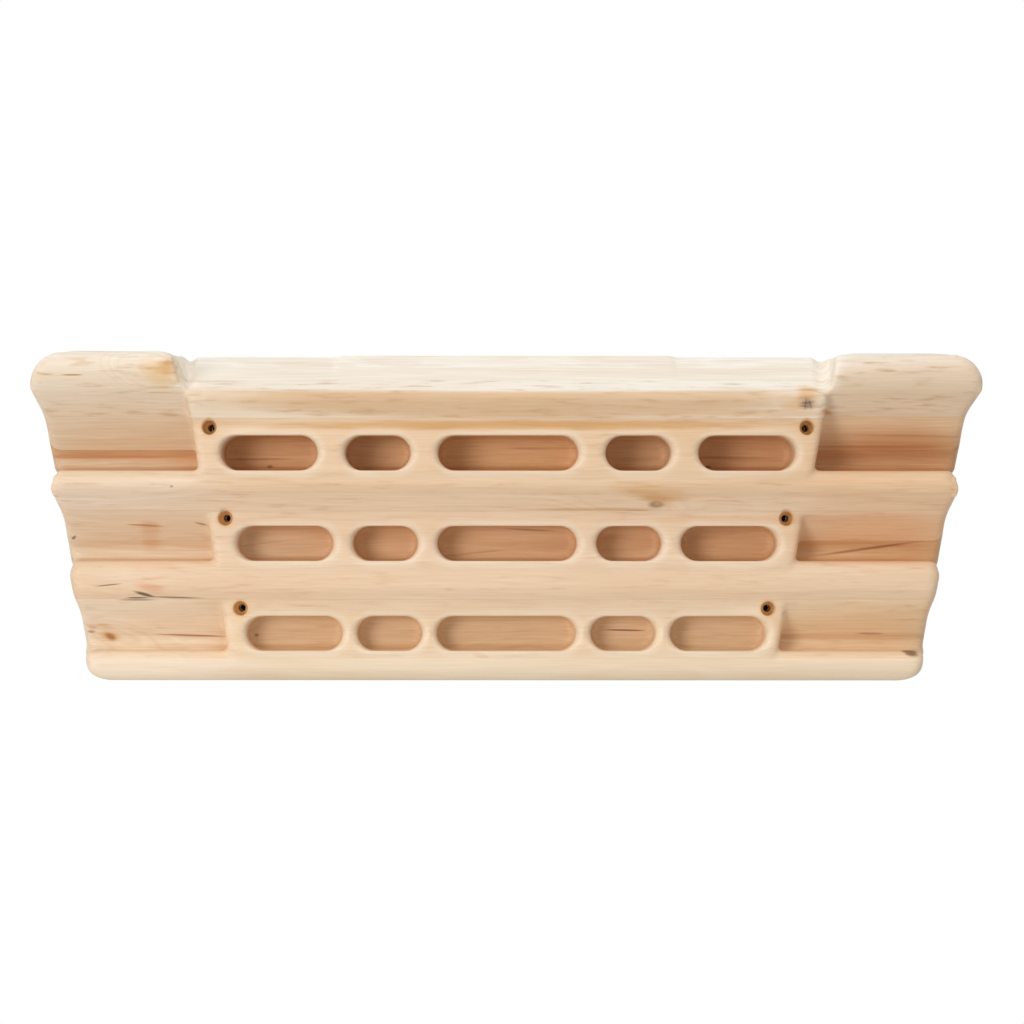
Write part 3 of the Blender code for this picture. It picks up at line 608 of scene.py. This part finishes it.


# For each stave: its tone, how strong its figure is, its pith, the knots that bend its grain (x, z,
# length, height, turn, push) and its marks (tone, x, z, length, height, turn, strength, fade, fray), in
# millimetres. The first marks of each are heartwood and sapwood, and the rest stains and streaks, except
# the marks noted as painted shade or painted highlight.
WOOD = {
    "back_top": ("#D8AC82", 1.9, (0.07, -0.09), (), (
        ("#E4B280", 0, 40, 85, 22, 0, 0.9, 0.5, 0.1),
        ("#D9A778", -153, 40, 40, 18, 0, 0.8, 0.5, 0.1),
        ("#DAA577", 153, 40, 42, 18, 0, 0.8, 0.5, 0.1),
        ("#CC9B6F", 262, 36, 75, 20, 0, 1.0, 0.5, 0.1),
        ("#DDC2A4", -262, 31, 80, 9, 0, 0.9, 0.5, 0.2),
        # Darker line along the crease where the recess floor meets the top ledge: painted shade
        ("#BE8856", 0, 30.5, 600, 2.4, 0, 0.5, 0.8, 0.1),
        ("#7A4C2C", -152.6, 32, 3, 1.5, 0, 0.7, 0.8, 0.4),
        ("#7A4C2C", 132, 32, 3, 1.5, 0, 0.7, 0.8, 0.4),
        ("#D09468", -270, 38.5, 60, 1.6, 0, 0.6, 0.5, 0.4),
        ("#A8703F", 262, 44, 60, 2, 0, 0.5, 0.6, 0.5),
        # Cream over the top of the board: partly sapwood, partly a painted highlight where the top light falls
        ("#F9F1E4", 0, 112, 600, 34, 0, 1.0, 0.3, 0),
        ("#A96A44", -160, 37, 30, 1.0, 0, 0.5, 0.6, 0.3),
        ("#A96A44", 25, 44, 40, 1.2, 0, 0.35, 0.7, 0.4),
        ("#A96A44", 150, 38, 34, 1.2, 0, 0.5, 0.6, 0.3),
    )),
    "back_centre": ("#DCB188", 1.7, (0.05, -0.04), (), (
        ("#E8CFB2", -240, -18, 95, 40, 0, 1.0, 0.4, 0.1),
        ("#DFBD99", -143, -23, 42, 16, 0, 0.7, 0.5, 0.1),
        ("#CE9D71", 143, -23, 45, 20, 0, 0.8, 0.5, 0.1),
        ("#DDB184", 250, -20, 80, 24, 0, 0.9, 0.5, 0.1),
        # Darker line along the crease where the recess floor meets the middle ledge: painted shade
        ("#C99866", 0, -28.5, 600, 2.4, 0, 0.4, 0.8, 0.1),
        ("#D9A56E", -229, -13, 10, 13, 0, 0.5, 0.8, 0.9),
        ("#A87048", -160, -18, 26, 0.8, -0.12, 0.25, 0.7, 0.4),
        ("#A87048", -20, -24, 30, 0.8, -0.1, 0.4, 0.7, 0.3),
        ("#8E5C36", 235, -21, 46, 1.3, -0.14, 0.7, 0.7, 0.2),
        ("#9A6C48", 17, -9, 22, 0.8, 0.05, 0.7, 0.7, 0.1),
        ("#C08A5C", 60, -18, 70, 8, 0, 0.35, 0.6, 0.6),
    )),
    "back_bottom": ("#DFBC96", 1.6, (0.03, 0.01), ((-250, -77, 50, 16, 0.2, 24), (15, -84, 60, 14, 0, 14)), (
        ("#F0DCC2", -255, -76, 95, 50, 0, 1.0, 0.4, 0.1),
        ("#EBCBA6", 255, -76, 95, 50, 0, 1.0, 0.4, 0.1),
        ("#A8603C", -203, -77.5, 30, 0.9, 0.03, 0.8, 0.6, 0.1),
        # Darker line along the crease where the recess floor meets the bottom ledge: painted shade
        ("#CC9C68", -60, -84.5, 270, 2.6, 0, 0.55, 0.8, 0.1),
        ("#7A4C2C", -161, -77.3, 2, 1.5, 0, 0.7, 0.8, 0.4),
        ("#DBAA6A", -257, -78, 10, 5.5, 0.3, 0.7, 0.8, 0.8),
        ("#A8733C", -256, -78.5, 5, 3, 0.5, 0.8, 0.8, 0.8),
        ("#C07850", -268, -75, 4, 1.4, 0, 0.7, 0.8, 0.5),
        ("#8A4C30", 78, -74, 17, 0.7, 0.02, 0.9, 0.5, 0.1),
        ("#D9A878", 230, -78, 90, 3, 0, 0.5, 0.6, 0.4),
        ("#9A6840", 237, -76, 12, 0.9, 0, 0.6, 0.6, 0.2),
    )),
    "middle_top": ("#E6CDB0", 1.4, (0.07, 0.06), (), (
        ("#EBC9A2", 262, 60, 80, 40, 0, 0.9, 0.5, 0.1),
        ("#D4A073", 258, 36, 85, 28, 0, 1.0, 0.7, 0.1),
        ("#B27C4C", 240, 45, 70, 1.5, 0, 0.5, 0.7, 0.4),
        ("#B98450", 262, 52, 60, 1.0, 0.02, 0.4, 0.7, 0.4),
        ("#E0BF98", -250, 48, 75, 3, 0, 0.4, 0.6, 0.3),
        # Cream over the top of the board: partly sapwood, partly a painted highlight where the top light falls
        ("#F9F1E4", 0, 108, 600, 26, 0, 1.0, 0.2, 0),
    )),
    "middle_centre": ("#E9CBAB", 1.0, (0.05, -0.09), ((-222, -48, 40, 8, 0, 5), (-255, -10, 60, 14, 0, 6)), (
        ("#EBD0B3", -255, -12, 95, 40, 0, 1.0, 0.4, 0.1),
        ("#ECBF96", 250, -14, 85, 28, 0, 1.0, 0.7, 0.1),
        # Slightly darker line along the lip of the middle row: painted shade
        ("#E4C8A8", 0, -33, 600, 4, 0, 0.7, 0.7, 0.1),
        ("#D9A56E", -229, -9, 10, 9, 0, 0.45, 0.8, 0.9),
        ("#C07C4C", -233, -6, 14, 0.9, 0.05, 0.7, 0.5, 0.3),
        ("#8A6E52", -196, -5, 5, 0.7, 0.2, 0.7, 0.5, 0.1),
        ("#7A4C34", -280, -15, 4, 1.2, -0.8, 0.8, 0.5, 0.1),
        ("#DCA67A", 170, -2, 160, 4, 0, 0.3, 0.6, 0.6),
        ("#E3B08C", -225, -33, 20, 4, 0, 0.3, 0.6, 0.5),
        ("#7E6248", -255, -44.4, 11, 0.6, -0.1, 0.85, 0.6, 0.2),
        ("#E0A583", -228, -46, 14, 4.2, 0.15, 0.7, 0.8, 0.9),
        ("#E3B38C", -224, -40, 14, 1.2, -0.1, 0.5, 0.8, 0.6),
        ("#5E4A38", -232, -50.3, 9.5, 1.5, 0.28, 0.9, 0.7, 0.4),
        ("#7E6A54", -212, -52.4, 24, 0.8, 0.03, 0.85, 0.7, 0.2),
        ("#6B5644", -236, -52.6, 10, 0.8, 0, 0.85, 0.7, 0.2),
    )),
    "middle_lower": ("#EDCFAB", 1.0, (0.03, -0.04), ((-250, -77, 50, 16, 0.2, 24),), (
        ("#E4CAAE", 0, -59, 235, 9, 0, 0.8, 0.5, 0.1),
        ("#F1D8BC", -255, -72, 95, 30, 0, 1.0, 0.4, 0.1),
        ("#ECC8A0", 250, -72, 90, 22, 0, 0.9, 0.6, 0.1),
        # Slightly darker line along the lip of the bottom row: painted shade
        ("#E6CDAE", 0, -88, 600, 4, 0, 0.7, 0.7, 0.1),
        ("#7E6A54", -236, -54, 16, 0.7, 0, 0.8, 0.7, 0.2),
        ("#DBB27C", -258, -72, 9, 3, 0.3, 0.5, 0.8, 0.9),
        ("#D39A78", -268, -72.5, 6, 2.5, 0, 0.6, 0.8, 0.8),
        ("#7A5A38", 262, -88, 7, 3, 0.2, 0.9, 0.6, 0.6),
        ("#E0A070", -15, -90, 7, 2.5, 0.2, 0.5, 0.6, 0.5),
    )),
    "middle_bottom": ("#EED9BD", 0.8, (0.07, 0.01), (), (
        ("#F1DEC8", -255, -98, 110, 30, 0, 1.0, 0.5, 0.1),
        ("#FAE9D2", -255, -106, 110, 13, 0, 0.9, 0.6, 0.1),
    )),
    "front_upper": ("#ECDAC3", 0.9, (0.05, 0.06), ((-226, 92, 44, 26, 0.4, 44), (191, 72, 30, 13, 0, 10)), (
        # Darker band under the nose of the hold: painted shade
        ("#DAB995", 0, 75, 226, 16, 0, 1.0, 0.4, 0.1),
        # Cream over the hold and horn tops: partly sapwood, partly a painted highlight where the top light falls
        ("#F9F1E4", 0, 101, 600, 23, 0, 1.0, 0.15, 0.02),
        ("#ECDAC3", -264, 82, 62, 40, 0, 1.0, 0.25, 0.02),
        ("#EBD5BB", -264, 66, 62, 10, 0, 0.9, 0.6, 0.02),
        ("#E8D0B4", 264, 82, 62, 40, 0, 1.0, 0.25, 0.02),
        # Paler still at the very top: partly sapwood, partly a painted highlight where the top light falls
        ("#F5F0E8", 0, 116, 600, 32, 0, 0.95, 0.7, 0.02),
        ("#E3BC80", -219, 92, 19, 14, 0.3, 0.65, 0.8, 0.9),
        ("#D3A060", -216, 96, 9, 9, 0.4, 0.6, 0.8, 0.9),
        ("#B8823F", -215, 98, 4, 3.5, 0, 0.45, 0.8, 0.7),
        ("#A88058", -276, 90, 9, 0.7, 0, 0.8, 0.5, 0.1),
        ("#E3B88A", -178, 93, 16, 1.6, -0.3, 0.5, 0.6, 0.5),
        ("#E3B88A", -172, 92, 22, 0.8, -0.1, 0.5, 0.6, 0.3),
        ("#E0A868", 193, 79, 9, 7, 0.2, 0.6, 0.8, 0.6),
        ("#DCA768", 186, 71, 14, 6, 0, 0.5, 0.8, 0.6),
        ("#D9A870", 160, 66, 90, 3, 0, 0.4, 0.6, 0.6),
        ("#CC9656", 206, 67, 6, 2.5, 0.2, 0.7, 0.8, 0.6),
        ("#B08A66", 193, 72, 9, 6.5, 0, 0.6, 0.9, 0.7),
        ("#8A7462", 193, 72, 5, 3.5, 0, 0.7, 0.9, 0.8),
        ("#6A5648", 193, 72.6, 7, 0.9, -0.1, 0.6, 0.8, 0.5),
        ("#6A5648", 192, 72, 0.9, 5.5, 0.1, 0.6, 0.8, 0.5),
        ("#6A5648", 195, 71.5, 1.0, 4.5, -0.3, 0.5, 0.8, 0.5),
        ("#6A5648", 191, 70.4, 5, 0.8, 0.15, 0.5, 0.8, 0.5),
    )),
    "front_lower": ("#E7C8A6", 1.0, (0.03, -0.09), ((86, 4, 62, 14, 0.1, 30), (-250, 18, 70, 12, 0, 16)), (
        # Paler band on the underside of the top rail: painted light, where more light falls from below
        ("#F2D6B8", 0, 8, 600, 10, 0, 0.8, 0.7, 0.1),
        ("#EDD6BE", -262, 22, 95, 34, 0, 0.9, 0.5, 0.1),
        ("#EAC49E", 262, 22, 95, 34, 0, 0.8, 0.5, 0.1),
        # Slightly darker line along the lip of the top row: painted shade
        ("#DCC0A0", 0, 26.5, 600, 4, 0, 0.6, 0.7, 0.1),
        ("#D6A66E", 10, 58, 240, 4.5, 0, 0.95, 0.7, 0.3),
        ("#7A5634", 208, 62, 5, 0.9, 0, 0.8, 0.5, 0.1),
        ("#7A5634", 236, 62, 5, 0.8, 0, 0.8, 0.5, 0.1),
        ("#D9A66C", 96, 15, 40, 7, 0.1, 0.6, 0.9, 0.9),
        ("#CF9656", 98, 11, 16, 5, 0.1, 0.6, 0.9, 0.8),
        ("#8A6A4A", 97, 7.5, 7, 3.2, 0, 0.8, 0.8, 0.5),
        ("#CFA478", 98, 8, 3.6, 1.8, 0, 0.8, 0.8, 0.3),
        ("#8A6A4A", 84, 3.4, 12, 1.2, 0, 0.75, 0.8, 0.4),
        ("#CC9A66", 60, 4, 60, 2.0, 0, 0.6, 0.6, 0.5),
        ("#B07858", -62, 45, 1.6, 1.2, 0, 0.8, 0.5, 0.1),
        ("#A8886A", -213, 19, 1.6, 0.9, 0, 0.7, 0.5, 0.1),
        ("#B08058", -240, 61.5, 11, 0.6, 0.03, 0.7, 0.5, 0.1),
    )),
}
MOUTH_ROWS = {"middle_lower": 0, "middle_centre": 1, "front_lower": 2}
for index, (name, (tone, figure, pith, knots, marks)) in enumerate(WOOD.items()):
    stave = staves[name]
    node = name + "_stave"
    low, high = stave_corners(*STAVES[name])
    rims = mouths[MOUTH_ROWS[name]] if name in MOUTH_ROWS else ()
    material = alder("sanded_alder_" + name, tone, figure, low, high, pith, 0.7 * index, knots, marks, rims)
    stave.data.materials.clear()
    stave.data.materials.append(material)
    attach(stave, "root")
    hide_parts(node)


# Wall
# The wall that the board hangs on is drawn only where the screw holes show it, and its dark colour there is painted
# shade for the wall in shadow behind the board.
wall_shape = bmesh.new()
for x, z, face in HOLES:
    seat = Matrix.Translation((x, 0.0002, z)) @ Matrix.Rotation(math.pi / 2, 4, "X")
    bmesh.ops.create_circle(wall_shape, cap_ends=True, segments=24, radius=HOLE_RADIUS, matrix=seat)
wall = finish_solid("wall", wall_shape)
hole_shade = bpy.data.materials.new("painted_shade_wall")
hole_shade.use_nodes = True
plain = hole_shade.node_tree.nodes["Principled BSDF"]
# Dark colour: painted shade seen through the screw holes
plain.inputs["Base Color"].default_value = colour("#4A4038")
plain.inputs["Roughness"].default_value = 0.9
wall.data.materials.append(hole_shade)


# Floor
# A pale floor under the hanging board keeps its shadow.
floor_shape = bmesh.new()
bmesh.ops.create_circle(floor_shape, cap_ends=True, segments=96, radius=0.9)
bmesh.ops.translate(floor_shape, verts=floor_shape.verts, vec=(0, 0, -0.55))
floor = finish_solid("floor", floor_shape)
painted = bpy.data.materials.new("pale_painted_floor")
painted.use_nodes = True
painted.node_tree.nodes["Principled BSDF"].inputs["Base Color"].default_value = colour("#EEEDEA")
painted.node_tree.nodes["Principled BSDF"].inputs["Roughness"].default_value = 0.8
floor.data.materials.append(painted)


# Studio light
# A soft lamp at the left, hardly higher than the board, a weaker one above, and an even white surround.
def add_lamp(name, place, aim, size, power):
    lamp = bpy.data.lights.new(name, "AREA")
    lamp.shape = "DISK"
    lamp.size = size
    lamp.energy = power
    holder = bpy.data.objects.new(name, lamp)
    bpy.context.scene.collection.objects.link(holder)
    holder.location = place
    holder.rotation_euler = (Vector(aim) - Vector(place)).to_track_quat("-Z", "Y").to_euler()


add_lamp("left_softbox", (-1.6, -2.4, 0.22), (0, 0, 0), 1.2, 32)
add_lamp("top_softbox", (0.1, -0.9, 1.6), (0, 0, 0), 1.2, 10.5)
world = bpy.data.worlds.new("white_surround")
bpy.context.scene.world = world
world.use_nodes = True
air = world.node_tree
paths = add(air, "LightPath", {}, {}).outputs
seen = add(air, "Math", {"operation": "MAXIMUM"}, {0: paths["Is Camera Ray"], 1: paths["Is Glossy Ray"]}).outputs[0]
seen = add(air, "Math", {"operation": "MAXIMUM"}, {0: seen, 1: paths["Is Transmission Ray"]}).outputs[0]
strength = add(air, "MapRange", {}, {"Value": seen, "To Min": 0.52, "To Max": 1}).outputs[0]
air.nodes["Background"].inputs["Color"].default_value = (1, 1, 1, 1)
air.links.new(strength, air.nodes["Background"].inputs["Strength"])


# Camera
# Level, straight in front and 2.3 m away, with a long lens, turned by the photograph's slight tilt.
camera = bpy.data.cameras.new("camera")
camera.lens = 123.7
camera.sensor_width = 36
viewer = bpy.data.objects.new("camera", camera)
bpy.context.scene.collection.objects.link(viewer)
viewer.location = (0.0047, -2.3, 0.0027)
viewer.rotation_euler = (math.pi / 2, math.radians(-0.03), 0)
bpy.context.scene.camera = viewer
bpy.context.scene.view_settings.view_transform = "Standard"
